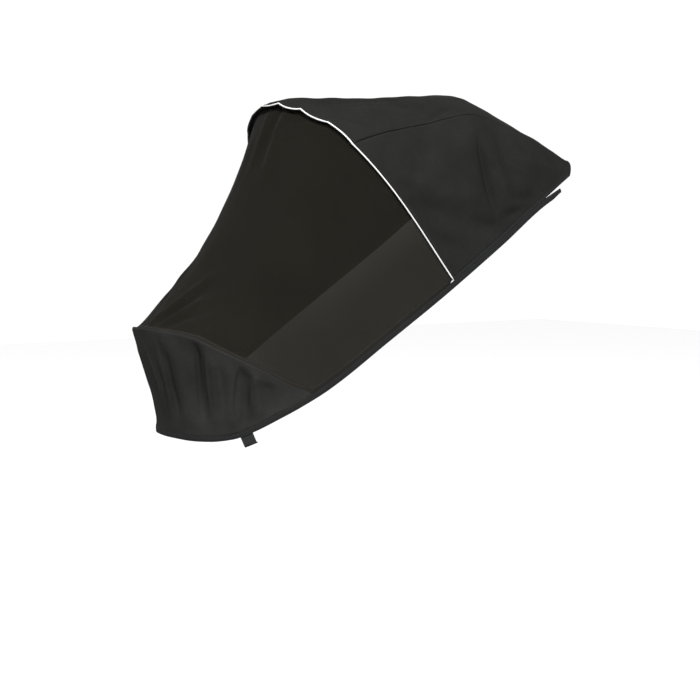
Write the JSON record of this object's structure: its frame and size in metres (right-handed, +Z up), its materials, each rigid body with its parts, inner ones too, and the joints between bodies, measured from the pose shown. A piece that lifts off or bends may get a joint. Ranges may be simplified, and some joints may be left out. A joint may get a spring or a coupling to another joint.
{
  "type": "pushchair mosquito net",
  "caption": "Fitted pushchair cover: fine net over the seat, opaque cloth hood with a piped rim, opaque foot panel and a banded hem with webbing tabs.",
  "frame": {"origin": "underside of the crown cloth on the middle line, where the middle hoop of the hood carries the cover", "axes": "+X to the right of the child in the seat, -Y towards the feet, +Z up"},
  "size_m": [0.4356, 0.9223, 0.7002],
  "materials": {
    "hood_cloth": "matt plain-weave polyester",
    "net_cloth": "matt fine net, dark when doubled",
    "foot_cloth": "matt plain-weave polyester",
    "elastic": "matt knitted elastic tape",
    "reflective_cord": "smooth silver-white piping",
    "webbing": "matt woven webbing"
  },
  "bodies": {
    "root": {"hood_crown": "hood_cloth", "hood_side_right": "hood_cloth", "hood_side_left": "hood_cloth", "net_panel": "net_cloth", "foot_panel": "foot_cloth", "hem_band": "elastic", "hood_binding": "elastic", "rim_facing": "elastic", "rim_piping": "reflective_cord", "strap_right": "webbing", "strap_left": "webbing"}
  },
  "joints": []
}
